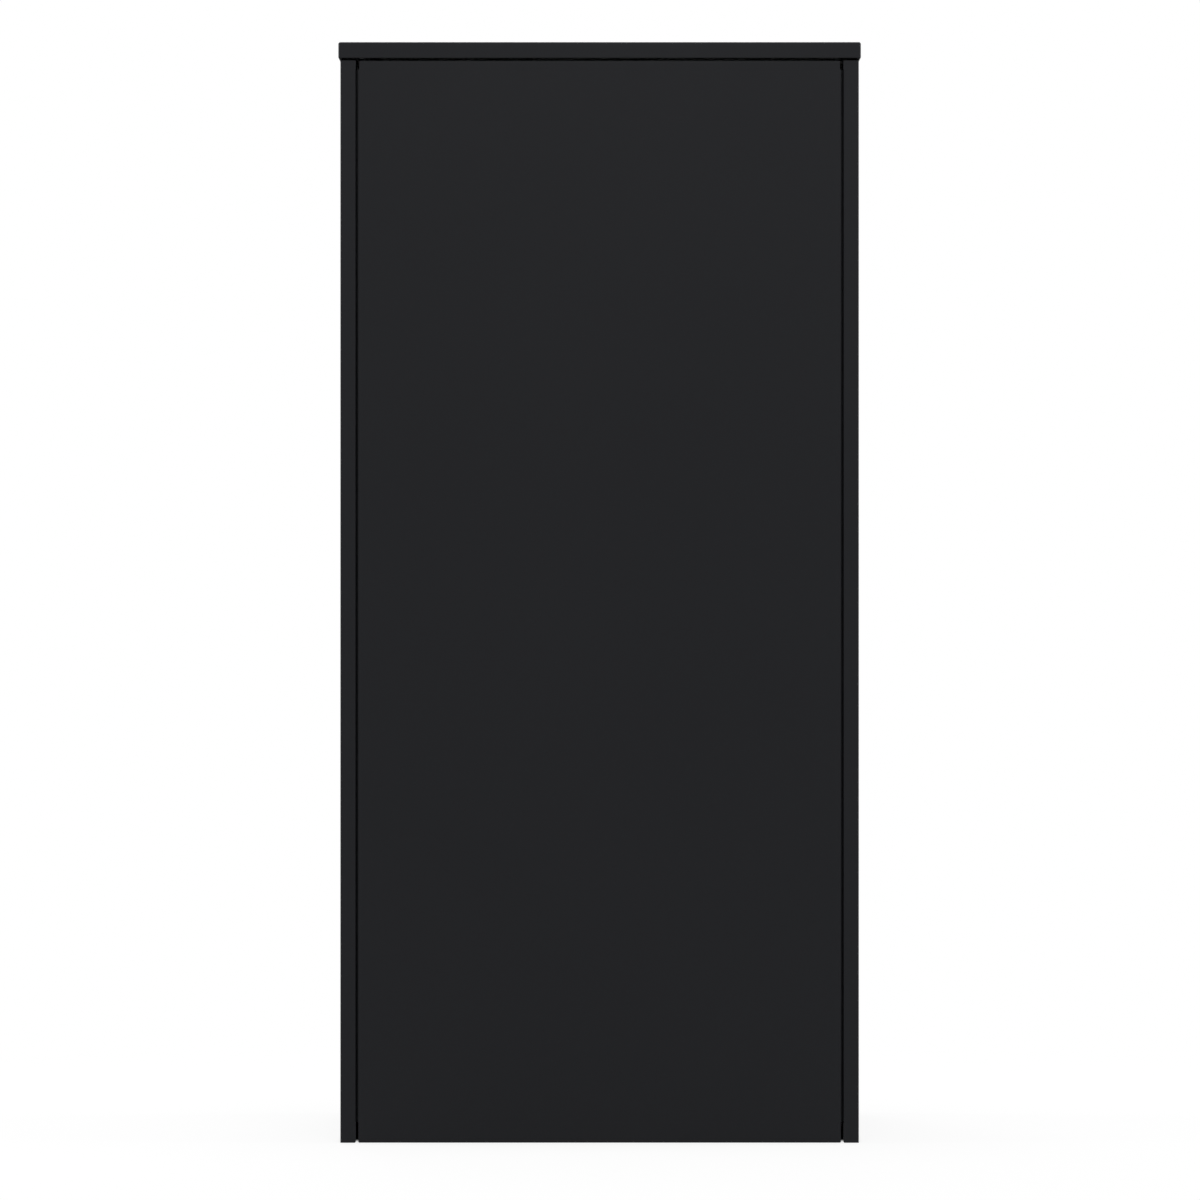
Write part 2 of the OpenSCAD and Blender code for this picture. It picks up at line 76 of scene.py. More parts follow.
# Path of a folded sheet, with an arc at each corner:
# point = centre - side * radius * normal, where normal turns evenly from one leg's left to the next one's
def foldedPath(corners, thickness, bend, steps):
    corners = np.asarray(corners, float)
    way = unitRows(np.diff(corners, axis=0))
    left = way[:, ::-1] * [-1, 1]
    turn = np.arctan2(way[:-1, 0] * way[1:, 1] - way[:-1, 1] * way[1:, 0], (way[:-1] * way[1:]).sum(1))
    side = np.sign(turn)
    radius = np.where(turn * thickness > 0, bend + abs(thickness), bend)
    centre = (corners[1:-1] - (radius * np.tan(abs(turn) / 2))[:, None] * way[:-1]
              + (side * radius)[:, None] * left[:-1])
    angle = turn[:, None] * np.linspace(0, 1, steps + 1)
    cos, sin = np.cos(angle), np.sin(angle)
    n = left[:-1, None]
    normal = np.stack([n[..., 0] * cos - n[..., 1] * sin, n[..., 0] * sin + n[..., 1] * cos], -1)
    arc = centre[:, None] - (side * radius)[:, None, None] * normal
    points = np.vstack([corners[:1], arc.reshape(-1, 2), corners[-1:]])
    normals = np.vstack([left[:1], normal.reshape(-1, 2), left[-1:]])
    return points, normals


# The same path with extra points a little way into each long straight leg, which keep its shading flat, and
# at each mark, which is a length from the path's start, or if below zero from its end
def supported(points, normals, reach, marks):
    s = np.concatenate([[0], np.cumsum(np.linalg.norm(np.diff(points, axis=0), axis=1))])
    straight = np.diff(s) > 4 * reach
    extra = np.concatenate([s[:-1][straight] + reach, s[1:][straight] - reach,
                            [m if m > 0 else s[-1] + m for m in marks]])
    every = np.sort(np.concatenate([s, extra]))

    def atEvery(values):                               # in a straight line from each point to the next
        return np.stack([np.interp(every, s, values[:, k]) for k in (0, 1)], -1)

    return atEvery(points), atEvery(normals)


# Quads between the rings of a grid: every ring closes on itself, and if joined the last ring meets the first
def gridFaces(rings, count, joined=False):
    r, c = np.meshgrid(np.arange(rings if joined else rings - 1), np.arange(count), indexing="ij")
    n, up = (c + 1) % count, (r + 1) % rings
    return np.stack([r * count + c, r * count + n, up * count + n, up * count + c], -1).reshape(-1, 4)


# Turns a closed shell's faces outwards if its volume, the sum of a . (b x c) / 6, comes out below zero
def outward(points, faces):
    triangles = np.concatenate([f[:, [0, k, k + 1]] for f in faces for k in range(1, f.shape[1] - 1)])
    a, b, c = (points[triangles[:, k]] for k in range(3))
    volume = (a * np.cross(b, c)).sum() / 6
    return points, faces if volume > 0 else [f[:, ::-1] for f in faces]


# Folded sheet carried along an axis. Each face of its section is base + shift * normal, and a cut edge
# rounds over as it is reached: inset = edge * (1 - sin a), reach = edge * (1 - cos a)
def sheetShell(corners, thickness, bend, span, axis, edge=0.2, tips=None, rounded=(True, True),
               steps=8, marks=(), trim=None):
    folded = foldedPath(corners, thickness, bend, steps)
    base, normal = supported(*folded, edge + mesher["foldSupport"], marks)
    tips = np.maximum((edge, edge) if tips is None else tips, mesher["least"])
    t, sign = abs(thickness), np.sign(thickness)
    a = np.linspace(mesher["firstAngle"], np.pi / 2, mesher["edgePoints"])
    insets = [edge * (1 - np.sin(a)) if r else np.zeros(1) for r in rounded]
    reaches = [np.append(0, edge * (1 - np.cos(a[1:]))) if r else np.zeros(1) for r in rounded]
    inset = np.concatenate([insets[0], [0, 0], insets[1][::-1]])
    phi = np.linspace(0, np.pi / 2, mesher["edgePoints"])
    rho = (edge - inset)[:, None]
    along = 1 - rho / edge * np.cos(phi)
    lift = edge - rho * np.sin(phi)

    def face(depth):                                   # one face at depth(lift) into the sheet
        shift = sign * depth(lift)[..., None]
        first = base[0] + tips[0] * along[..., None] * unitRows(base[1] - base[0]) + shift * normal[0]
        last = base[-1] + tips[1] * along[..., None] * unitRows(base[-2] - base[-1]) + shift * normal[-1]
        middle = base[1:-1] + sign * depth(inset)[:, None, None] * normal[1:-1]
        return np.concatenate([first, middle, last[:, ::-1]], 1)

    section = np.concatenate([face(lambda d: d), face(lambda d: t - d)[:, ::-1]], 1)
    low, high = (np.full(section.shape[1], float(v)) for v in span)
    if trim:
        low, high = trim(section[len(insets[0])], low, high)
    support = mesher["edgeSupport"]
    station = np.concatenate([low + reaches[0][:, None], [low + edge + support, high - edge - support],
                              high - reaches[1][::-1, None]])
    p, q = section[..., 0], section[..., 1]
    order = {"x": (station, p, q), "y": (p, station, q), "z": (p, q, station)}[axis]
    points = np.stack(order, -1).reshape(-1, 3)
    rings, count = section.shape[:2]
    j = np.arange(count // 2 - 1)
    cap = np.stack([j + 1, j, count - 1 - j, count - 2 - j], -1)
    return outward(points, [gridFaces(rings, count), cap, cap[:, ::-1] + (rings - 1) * count])


# Shell of rings round a rounded rectangle, point = corner centre + radius * (cos a, sin a),
# where profile gives each ring's inset from the outline and its height
def ringShell(width, length, corner, profile, steps=6):
    inset, height = np.asarray(profile, float).T
    radius = np.maximum(corner - inset, mesher["least"])[:, None]
    quarter = np.linspace(0, np.pi / 2, steps + 1)
    angle = (np.arange(4)[:, None] * np.pi / 2 + quarter).ravel()
    signX, signY = (np.repeat(s, steps + 1) for s in ([1, -1, -1, 1], [1, 1, -1, -1]))
    x = signX * (width / 2 - inset[:, None] - radius) + radius * np.cos(angle)
    y = signY * (length / 2 - inset[:, None] - radius) + radius * np.sin(angle)
    points = np.stack([x, y, np.broadcast_to(height[:, None], x.shape)], -1).reshape(-1, 3)
    rings, count = x.shape
    end = np.arange(count)[None]
    return outward(points, [gridFaces(rings, count), end[:, ::-1], end + (rings - 1) * count])


# Flat plate with softened edges that lies on z = 0
def plateShell(width, length, thickness, corner, edge=0.2):
    profile = [(edge, 0), (0, edge), (0, thickness - edge), (edge, thickness)]
    return ringShell(width, length, corner, profile, 2)


# Profile of a tray that is folded from sheet: over its fold, round its rim and up the inside. Each fold is
# centre + radius * (cos a, sin a), with the outer radius outside and the bend's own inside
def trayProfile(depth, bend, thickness, edge, steps=8):
    outer = bend + thickness
    outside, inside = np.broadcast_to(edge, 2)
    support = mesher["edgeSupport"]
    a = np.linspace(0, np.pi / 2, steps + 1)
    b = np.linspace(0, np.pi / 2, mesher["edgePoints"])
    arcs = [
        [(outer + support, 0)],
        np.stack([outer - outer * np.sin(a), outer * np.cos(a) - outer], -1),
        [(0, -outer - support), (0, outside + support - depth)],
        np.stack([outside - outside * np.cos(b), outside - depth - outside * np.sin(b)], -1),
        np.stack([thickness - inside + inside * np.sin(b), inside - depth - inside * np.cos(b)], -1),
        [(thickness, inside + support - depth), (thickness, -outer - support)],
        np.stack([outer - bend * np.cos(a), bend * np.sin(a) - outer], -1),
        [(outer + support, -thickness)],
    ]
    return np.vstack(arcs)


# Surface of revolution about a vertical axis: point = (r cos a, r sin a, z), where shape(r, z, a) may alter
# the radius r. A joined profile closes on itself round a bore
def lathe(profile, sides, shape=None, joined=False):
    r, z = np.asarray(profile, float).T
    a = np.arange(sides) * 2 * np.pi / sides
    radius, height = (np.broadcast_to(v[:, None], (len(v), sides)) for v in (r, z))
    if shape:
        radius = shape(radius, height, a[None])
    points = np.stack([radius * np.cos(a), radius * np.sin(a), height], -1).reshape(-1, 3)
    end = np.arange(sides)[None]
    ends = [] if joined else [end[:, ::-1], end + (len(r) - 1) * sides]
    return outward(points, [gridFaces(len(r), sides, joined), *ends])


# Flat plate round a bore, in the plane of x and z: centre + radius * (cos a, sin a) at the bore's wall, and
# centre + t * (cos a, sin a) at the outline, where t is the distance to the nearer side of the rectangle
def boredPlate(low, high, depth, centre, radius, edge=0.2, sides=32):
    low, high, centre = (np.asarray(v, float) for v in (low, high, centre))
    corners = np.array([[x, z] for x in (low[0], high[0]) for z in (low[1], high[1])]) - centre
    a = np.unique(np.concatenate([np.arange(sides) * 2 * np.pi / sides,
                                  np.arctan2(corners[:, 1], corners[:, 0]) % (2 * np.pi)]))
    way = np.stack([np.cos(a), np.sin(a)], -1)
    way = np.where(abs(way) < 1e-9, 1e-9, way)         # so that nothing is divided by 0
    outline = centre + (np.where(way > 0, high - centre, low - centre) / way).min(1)[:, None] * way
    b = np.linspace(0, np.pi / 2, mesher["edgePoints"])
    wall = np.concatenate([radius + edge - edge * np.sin(b), radius + edge - edge * np.cos(b)])
    y = np.concatenate([depth[0] + edge - edge * np.cos(b), depth[1] - edge + edge * np.sin(b)])
    flat = np.concatenate([centre + wall[:, None, None] * way, outline[None], outline[None]])
    y = np.broadcast_to(np.append(y, [depth[1], depth[0]])[:, None], flat.shape[:2])
    points = np.stack([flat[..., 0], y, flat[..., 1]], -1).reshape(-1, 3)
    return outward(points, [gridFaces(*y.shape, True)])


# Shell turned, and then carried to its place: point = turn * point + offset
def moved(shell, offset=(0, 0, 0), turn=None):
    points, faces = shell
    points = points if turn is None else points @ np.asarray(turn, float).T
    return outward(points + np.asarray(offset, float), faces)


# Copy of an upright shell with its axis turned to a way, and spun about it:
# point = place + x * across + y * beside + z * way, with across and beside spun by an angle about the way
def aimed(shell, place, way, spin=0.0):
    way = np.asarray(way, float)
    across = unitRows(np.cross(way, np.roll(way, 1)))
    beside = np.cross(way, across)
    cos, sin = np.cos(spin), np.sin(spin)
    return moved(shell, place, np.stack([across * cos + beside * sin, beside * cos - across * sin, way], -1))


# Shells with their mirror images: (x, y, z) and (-x, y, z)
def mirrored(*shells):
    return [*shells, *(outward(points * [-1, 1, 1], faces) for points, faces in shells)]


# Joins shells into one piece that rides on a body and stands for some of its nodes
def addPiece(name, shells, body, slot, finish, nodes, sharp=40):
    starts = np.cumsum([0] + [len(points) for points, _ in shells])
    points = np.concatenate([points for points, _ in shells]) * mm
    faces = [f + start for (_, group), start in zip(shells, starts) for f in group]
    loops = np.concatenate([f.ravel() for f in faces])
    sizes = np.concatenate([np.full(len(f), f.shape[1]) for f in faces])
    mesh = bpy.data.meshes.new(name)
    mesh.vertices.add(len(points))
    mesh.vertices.foreach_set("co", points.astype(np.float32).ravel())
    mesh.loops.add(len(loops))
    mesh.loops.foreach_set("vertex_index", loops.astype(np.int32))
    mesh.polygons.add(len(sizes))
    mesh.polygons.foreach_set("loop_start", np.concatenate([[0], np.cumsum(sizes)[:-1]]).astype(np.int32))
    mesh.polygons.foreach_set("use_smooth", np.ones(len(sizes), bool))
    mesh.update(calc_edges=True)
    mesh.validate()
    mesh.set_sharp_from_angle(angle=np.radians(sharp))
    mesh.materials.append(finish)
    piece = bpy.data.objects.new(name, mesh)
    bpy.context.scene.collection.objects.link(piece)
    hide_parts(*nodes)
    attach(piece, body)


# New material with its shader, and makers of the nodes that a finish is put together from. Noise is laid on
# the piece by its Object coordinates
def newFinish(name):
    finish = bpy.data.materials.new(name)
    finish.use_nodes = True
    nodes, links = finish.node_tree.nodes, finish.node_tree.links
    shader = nodes["Principled BSDF"]
    place = nodes.new("ShaderNodeTexCoord").outputs["Object"]

    def noise(scale, detail=2, stretch=None):           # scale is in waves a metre, stretch a scale each way
        source = place
        if stretch:
            mapping = nodes.new("ShaderNodeMapping")
            mapping.inputs["Scale"].default_value = stretch
            links.new(place, mapping.inputs["Vector"])
            source = mapping.outputs["Vector"]
        node = nodes.new("ShaderNodeTexNoise")
        node.inputs["Scale"].default_value = scale
        node.inputs["Detail"].default_value = detail
        links.new(source, node.inputs["Vector"])
        return node.outputs["Fac"]

    def spread(value, low, high, start=0.3, end=0.7):   # carries a noise's middle range over to low ... high
        node = nodes.new("ShaderNodeMapRange")
        for socket, v in zip(("From Min", "From Max", "To Min", "To Max"), (start, end, low, high)):
            node.inputs[socket].default_value = v
        links.new(value, node.inputs["Value"])
        return node.outputs["Result"]

    def mix(value, colour1, colour2):                   # the first colour at 0, the second at 1
        node = nodes.new("ShaderNodeMix")
        node.data_type = "RGBA"
        links.new(value, node.inputs[0])
        for socket, colour in ((node.inputs[6], colour1), (node.inputs[7], colour2)):
            if isinstance(colour, tuple):
                socket.default_value = (*colour, 1)
            else:
                links.new(colour, socket)
        return node.outputs[2]

    def bump(value, strength, depth, before=None):      # relief of a noise, laid over an earlier one
        node = nodes.new("ShaderNodeBump")
        node.inputs["Strength"].default_value = strength
        node.inputs["Distance"].default_value = depth
        links.new(value, node.inputs["Height"])
        if before:
            links.new(before, node.inputs["Normal"])
        return node.outputs["Normal"]

    return finish, shader, links, noise, spread, mix, bump


# Sizes and depths are in millimetres, and scales are in a noise's waves a metre
powderCoat = {"colour": (0.0092, 0.0097, 0.0115), "deeper": (0.0086, 0.0091, 0.0109), "driftScale": 5,
              "specks": (0.0107, 0.0112, 0.0131), "speckScale": 1400, "speckShare": 0.5,
              "speckRange": (0.55, 0.75), "gloss": 0.13, "roughness": (0.44, 0.48), "cloudScale": 60,
              "peelSize": 3.5, "peelDepth": 0.008, "grainSize": 0.5, "grainDepth": 0.002, "relief": 0.5}


# Baked powder: soft orange peel with a fine grain on it, and a colour that drifts very slightly
def makePowderCoat(name, v):
    finish, shader, links, noise, spread, mix, bump = newFinish(name)
    shader.inputs["Specular IOR Level"].default_value = v["gloss"]
    drift = mix(spread(noise(v["driftScale"]), 0, 1), v["colour"], v["deeper"])
    specks = spread(noise(v["speckScale"], detail=1), 0, v["speckShare"], *v["speckRange"])
    links.new(mix(specks, drift, v["specks"]), shader.inputs["Base Color"])
    links.new(spread(noise(v["cloudScale"], detail=3), *v["roughness"]), shader.inputs["Roughness"])
    peel = bump(noise(1 / (v["peelSize"] * mm)), v["relief"], v["peelDepth"] * mm)
    grain = bump(noise(1 / (v["grainSize"] * mm)), v["relief"], v["grainDepth"] * mm, peel)
    links.new(grain, shader.inputs["Normal"])
    return finish


zincPlate = {"bright": (0.60, 0.62, 0.65), "dull": (0.47, 0.48, 0.49), "cloudScale": 70,
             "roughness": (0.26, 0.42), "lineStretch": (900, 14, 900), "lineDepth": 0.01, "relief": 0.4}
ballSteel = {**zincPlate, "bright": (0.66, 0.66, 0.67), "dull": (0.60, 0.60, 0.60), "roughness": (0.08, 0.14),
             "lineDepth": 0.001}


# Rolled and plated steel: faint lines along the chest's depth over a cloudy plating
def makeSteel(name, v):
    finish, shader, links, noise, spread, mix, bump = newFinish(name)
    shader.inputs["Metallic"].default_value = 1
    clouds = spread(noise(v["cloudScale"], detail=4), 0, 1)
    links.new(mix(clouds, v["bright"], v["dull"]), shader.inputs["Base Color"])
    lines = noise(1, detail=3, stretch=v["lineStretch"])
    links.new(spread(lines, *v["roughness"]), shader.inputs["Roughness"])
    links.new(bump(lines, v["relief"], v["lineDepth"] * mm), shader.inputs["Normal"])
    return finish


footPlastic = {"colour": (0.012, 0.012, 0.013), "lighter": 1.25, "cloudScale": 300, "gloss": 0.3,
               "roughness": (0.48, 0.6), "roughScale": 500, "grainSize": 0.4, "grainDepth": 0.02,
               "relief": 0.5}
bumperRubber = {**footPlastic, "colour": (0.018, 0.018, 0.019), "roughness": (0.72, 0.85), "grainSize": 0.8}


# Moulded plastic or rubber with a fine sparked grain
def makeMoulded(name, v):
    finish, shader, links, noise, spread, mix, bump = newFinish(name)
    shader.inputs["Specular IOR Level"].default_value = v["gloss"]
    lighter = tuple(v["lighter"] * c for c in v["colour"])
    clouds = spread(noise(v["cloudScale"], detail=3), 0, 1)
    links.new(mix(clouds, v["colour"], lighter), shader.inputs["Base Color"])
    links.new(spread(noise(v["roughScale"]), *v["roughness"]), shader.inputs["Roughness"])
    grain = bump(noise(1 / (v["grainSize"] * mm)), v["relief"], v["grainDepth"] * mm)
    links.new(grain, shader.inputs["Normal"])
    return finish


# Each finish with the slot of the record that it stands for
coat = ("black_powder_coat", makePowderCoat("blackPowderCoat", powderCoat))
zinc = ("zinc_plated_steel", makeSteel("zincPlate", zincPlate))
bearing = ("zinc_plated_steel", makeSteel("ballSteel", ballSteel))
plastic = ("black_plastic", makeMoulded("footPlastic", footPlastic))
rubber = ("black_rubber", makeMoulded("bumperRubber", bumperRubber))
print("finishes made")


sheet = {"thickness": 1, "bend": 0.6, "cutEdge": 0.25}
t, bend, cutEdge = sheet["thickness"], sheet["bend"], sheet["cutEdge"]

cap = {"bend": 1.2, "rimEdge": (0.8, 0.15), "foldSteps": 8, "cornerSteps": 6}
basePan = {"bend": bend, "rimEdge": 0.3, "foldSteps": 5, "cornerSteps": 4}


# Tray that is folded down on four sides, with its flat face at the top of its node's box
def makeTray(name, node, v):
    low, high = boxOf(node)
    width, length, height = high - low
    profile = trayProfile(height, v["bend"], t, v["rimEdge"], v["foldSteps"])
    shell = ringShell(width, length, v["bend"] + t, profile, v["cornerSteps"])
    middle = (low + high) / 2
    addPiece(name, [moved(shell, (middle[0], middle[1], high[2]))], "cabinet", *coat, [node])


capChannels = {"flat": 20, "foot": 7}


# Hat channel under the cap on each side, with a flat that is let down to the side panels' shelves
def makeCapChannels(v):
    low, high = boxOf("cap_channels")
    end, start, feet = high[0] - v["foot"], high[0] - v["foot"] - v["flat"], high[2] - t
    hat = [(start - v["foot"], feet), (start, feet), (start, low[2]), (end, low[2]), (end, feet),
           (high[0], feet)]
    shell = sheetShell(hat, t, bend, (low[1], high[1]), "y", cutEdge, steps=5)
    addPiece("capChannels", mirrored(shell), "cabinet", *coat, ["cap_channels"])


sidePanel = {"flange": 15.5, "lip": 10, "ledge": 16, "cutCorner": 1, "topNotch": 9, "bottomNotch": 20,
             "shelf": 28, "shelfSetBack": 3.2}


# One wall with folded flanges at front and rear; its lips stop short of the flanges' ends
def makeSidePanel(name, node, v):
    low, high = boxOf("right_side")
    front, back, side, bottom = low[1], high[1], high[0], low[2]
    inner, top = side - v["flange"], boxOf("back_panel")[1][2]
    rebate = back - v["lip"]
    flanges = [(inner, front), (side, front), (side, back), (inner, back)]
    lips = [(inner, front + v["lip"]), *flanges, (inner, rebate), (inner - v["ledge"], rebate)]

    def cutCorners(section, start, stop):               # start + corner - x, at x in from a flange's end
        fromTip = np.where(section[:, 0] < side - 2 * v["cutCorner"], section[:, 0] - inner, v["cutCorner"])
        return start + np.maximum(v["cutCorner"] - np.maximum(fromTip, 0), 0), stop

    lowNotch, highNotch = bottom + v["bottomNotch"], top - v["topNotch"]
    marks = (v["cutCorner"], -v["cutCorner"])
    shelf = [(side, top), (side, high[2]), (side - v["shelf"], high[2])]
    shelfSpan = (front + v["shelfSetBack"], back - v["shelfSetBack"])
    shells = [
        sheetShell(flanges, t, bend, (bottom, lowNotch), "z", cutEdge, rounded=(True, False), marks=marks,
                   trim=cutCorners),
        sheetShell(lips, t, bend, (lowNotch, highNotch), "z", cutEdge, rounded=(False, False)),
        sheetShell(flanges, t, bend, (highNotch, top), "z", cutEdge, rounded=(False, True)),
        sheetShell(shelf, t, bend, shelfSpan, "y", cutEdge, tips=(0, cutEdge)),
    ]
    if node == "left_side":
        shells = mirrored(*shells)[len(shells):]
    addPiece(name, shells, "cabinet", *coat, [node])


backPanel = {"rim": 13, "topNotch": (1.5, 9), "bottomNotch": (0.6, 20), "corner": 1, "lip": 10}


# Flat panel with rims on its sides that fold forward and back in, and plain edges at top and bottom
def makeBackPanel(v):
    low, high = boxOf("back_panel")
    bottom, top, back, edge = low[2], high[2], high[1], high[0]
    lowNotch, highNotch = bottom + v["bottomNotch"][1], top - v["topNotch"][1]
    rim, rimY = edge - v["rim"], back - v["lip"]
    wide = [(rim, rimY), (edge, rimY), (edge, back), (-edge, back), (-edge, rimY), (-rim, rimY)]

    def roundCorners(section, start, stop):             # inset = r - sqrt(r^2 - d^2), d past their centres
        r = v["corner"]
        d = np.clip(np.maximum(section[:, 1] - (top - r), bottom + r - section[:, 1]), 0, r)
        inset = r - np.sqrt(r ** 2 - d ** 2)
        return start + inset, stop - inset

    lowEnd, highEnd = edge - v["bottomNotch"][0], edge - v["topNotch"][0]
    foot = [(back, lowNotch), (back, bottom), (rimY, bottom)]
    head = [(rimY, top), (back, top), (back, highNotch)]
    shells = [
        sheetShell(wide, t, bend, (lowNotch, highNotch), "z", cutEdge, rounded=(False, False)),
        sheetShell(foot, -t, bend, (-lowEnd, lowEnd), "x", cutEdge, tips=(0, cutEdge), trim=roundCorners),
        sheetShell(head, -t, bend, (-highEnd, highEnd), "x", cutEdge, tips=(cutEdge, 0), trim=roundCorners),
    ]
    addPiece("backPanel", shells, "cabinet", *coat, ["back_panel"])


plinth = {"panEdge": 20, "lip": 10}


# Plate across the front of the base, folded back over its top and down against the pan, and in at its foot
def makePlinth(v):
    low, high = boxOf("front_plinth")
    rear, front, bottom, top = high[1], low[1], low[2], high[2]
    path = [(rear, top - v["panEdge"]), (rear, top), (front, top), (front, bottom),
            (front + v["lip"], bottom)]
    shell = sheetShell(path, t, bend, (low[0], high[0]), "x", cutEdge)
    addPiece("plinth", [shell], "cabinet", *coat, ["front_plinth"])


upright = {"thickness": 1.2, "foot": 9}


# Hat-shaped upright on a side panel, worked out on the right
def makeUpright(place, side, v):
    low, high = boxOf(f"{place}_right_upright")
    feet, front, rear = high[0] - v["thickness"], low[1] + v["foot"], high[1] - v["foot"]
    path = [(feet, high[1]), (feet, rear), (low[0], rear), (low[0], front), (feet, front), (feet, low[1])]
    shells = [sheetShell(path, v["thickness"], bend, (low[2], high[2]), "z", cutEdge, steps=5)]
    if side == "left":
        shells = mirrored(*shells)[1:]
    addPiece(f"{place}{side.title()}Upright", shells, "cabinet", *coat, [f"{place}_{side}_upright"])


rail = {"plateCorner": 0.4}


# Channel with a plate welded into each end
def makeRail(name, node, v):
    low, high = boxOf(node)
    middle = (low + high) / 2
    path = [(high[1], low[2]), (low[1], low[2]), (low[1], high[2]), (high[1], high[2])]
    channel = sheetShell(path, -t, bend, (low[0], high[0]), "x", cutEdge, steps=5)
    plate = plateShell(high[2] - low[2] - t, high[1] - low[1] - t / 2, t, v["plateCorner"])
    onEnd = [[0, 0, 1], [0, 1, 0], [-1, 0, 0]]          # turns the plate's face from +Z to +X
    plate = moved(plate, (high[0] - t, middle[1] + t / 4, middle[2]), onEnd)
    addPiece(name, [channel, *mirrored(plate)], "cabinet", *coat, [node])


makeTray("topCap", "top_cap", cap)
makeCapChannels(capChannels)
makeSidePanel("rightSide", "right_side", sidePanel)
makeSidePanel("leftSide", "left_side", sidePanel)
makeBackPanel(backPanel)
makeTray("basePan", "base_pan", basePan)
makePlinth(plinth)
for place in ("front", "rear"):
    for side in ("left", "right"):
        makeUpright(place, side, upright)
for name, node in rails.items():
    makeRail(name, node, rail)
print("cabinet made")


bumper = {"across": 8, "edge": 0.2, "dome": 0.8, "fullness": 0.7, "domeRings": 7, "poleAngle": 0.05,
          "sides": 24}


# Rubber buttons on the rails, with a domed face:
# r = radius * (sin b) ^ fullness and z = straight + dome * cos b
def makeBumpers(v):
    low, high = boxOf("drawer_bumpers")
    radius, straight = v["across"] / 2, high[1] - low[1] - v["dome"]
    b = np.linspace(v["poleAngle"], np.pi / 2, v["domeRings"])[::-1]
    dome = np.stack([radius * np.sin(b) ** v["fullness"], straight + v["dome"] * np.cos(b)], -1)
    button = lathe(np.vstack([[(radius - v["edge"], 0), (radius, v["edge"])], dome]), v["sides"])
    heights = [boxOf(node)[0][2] + radius for node in rails.values()]
    shells = [aimed(button, (high[0] - radius, high[1], z), (0, -1, 0)) for z in heights]
    addPiece("bumpers", mirrored(*shells), "cabinet", *rubber, ["drawer_bumpers"])


# The pad's outline is given as far in from its rim, and its neck's as far out from the stem, with heights
foot = {"pad": 30, "stem": 7.8, "height": 6,
        "padOutline": [(14.6, 0.35), (5, 0.35), (4, 0), (1, 0), (0.3, 0.3), (0, 1), (0, 2.6), (0.3, 3.1),
                       (1.2, 3.4)],
        "neckOutline": [(3.6, 5.6), (2.6, 6), (-0.5, 6)],
        "ribs": 36, "ribDepth": 0.25, "ribSpan": (0.6, 3), "ribBand": 0.5,
        "sunk": 0.5, "pitch": 1.25, "threadDepth": 0.6, "threadSides": 24, "ringsPerTurn": 6, "plainTip": 1,
        "tipChamfer": 0.6}


# Middles of the two feet on the right
def footPlaces(v):
    low, high = boxOf("levelling_feet")
    radius = v["pad"] / 2
    return [(high[0] - radius, y, 0) for y in (low[1] + radius, high[1] - radius)]


# Levelling foot: a pad whose edge is ribbed, r = radius + depth * (cos(n a) - 1), and a stem whose thread is
# r = radius - depth * (0.5 + 0.5 * cos(2 pi z / pitch - a))
def makeFeet(v):
    radius, stem, top = v["pad"] / 2, v["stem"] / 2, boxOf("levelling_feet")[1][2]
    outline = [(radius - x, z) for x, z in v["padOutline"]] + [(stem + x, z) for x, z in v["neckOutline"]]

    def ribbed(r, z, a):
        onEdge = (z > v["ribSpan"][0]) & (z < v["ribSpan"][1]) & (r > radius - v["ribBand"])
        return r + np.where(onEdge, v["ribDepth"] * np.cos(v["ribs"] * a) - v["ribDepth"], 0)

    def threaded(r, z, a):
        depth = v["threadDepth"] * (0.5 + 0.5 * np.cos(2 * np.pi * z / v["pitch"] - a))
        return np.where(z < top - v["plainTip"], r - depth, r)

    pad = lathe(outline, 4 * v["ribs"], ribbed)
    z = np.arange(v["height"] - v["sunk"], top - v["plainTip"], v["pitch"] / v["ringsPerTurn"])
    rise = np.concatenate([z, [top - v["tipChamfer"], top]])
    inset = np.concatenate([np.zeros(len(z)), [v["tipChamfer"], 2 * v["tipChamfer"]]])
    screwed = lathe(np.stack([stem - inset, rise], -1), v["threadSides"], threaded)
    shells = mirrored(*(moved(shell, place) for place in footPlaces(v) for shell in (pad, screwed)))
    addPiece("levellingFeet", shells, "cabinet", *plastic, ["levelling_feet"])


nut = {"across": 13, "height": 6, "grip": 0.3, "lead": 0.5, "face": 0.2, "chamfer": 0.9, "roundTo": 1,
       "sides": 48}


# Nuts on the feet's stems, over and under the base pan. Their hexagon is r = flats / cos a, with a folded
# into one side, and is cut back to a circle at its top and bottom edges
def makeFootNuts(v, ofFoot):
    flats, stem, h = v["across"] / 2, ofFoot["stem"] / 2, v["height"]
    bore, mouth = stem - v["grip"], stem + v["grip"]
    face, corner = flats - v["face"], flats / np.cos(np.pi / 6)

    def hexagon(r, z, a):
        side = flats / np.cos((a + np.pi / 6) % (np.pi / 3) - np.pi / 6)
        return np.where(r > stem + v["roundTo"], np.minimum(r, side), r)

    half = [(bore, v["lead"]), (mouth, 0), (face, 0), (corner, v["chamfer"])]
    profile = half + [(r, h - z) for r, z in half[::-1]]
    shell = lathe(profile, v["sides"], hexagon, True)
    low, high = boxOf("foot_nuts")
    places = [(x, y, z) for x, y, _ in footPlaces(ofFoot) for z in (low[2], high[2] - h)]
    shells = mirrored(*(moved(shell, place) for place in places))
    addPiece("footNuts", shells, "cabinet", *zinc, ["foot_nuts"], sharp=30)


makeBumpers(bumper)
makeFeet(foot)
makeFootNuts(nut, foot)
print("bumpers and feet made")


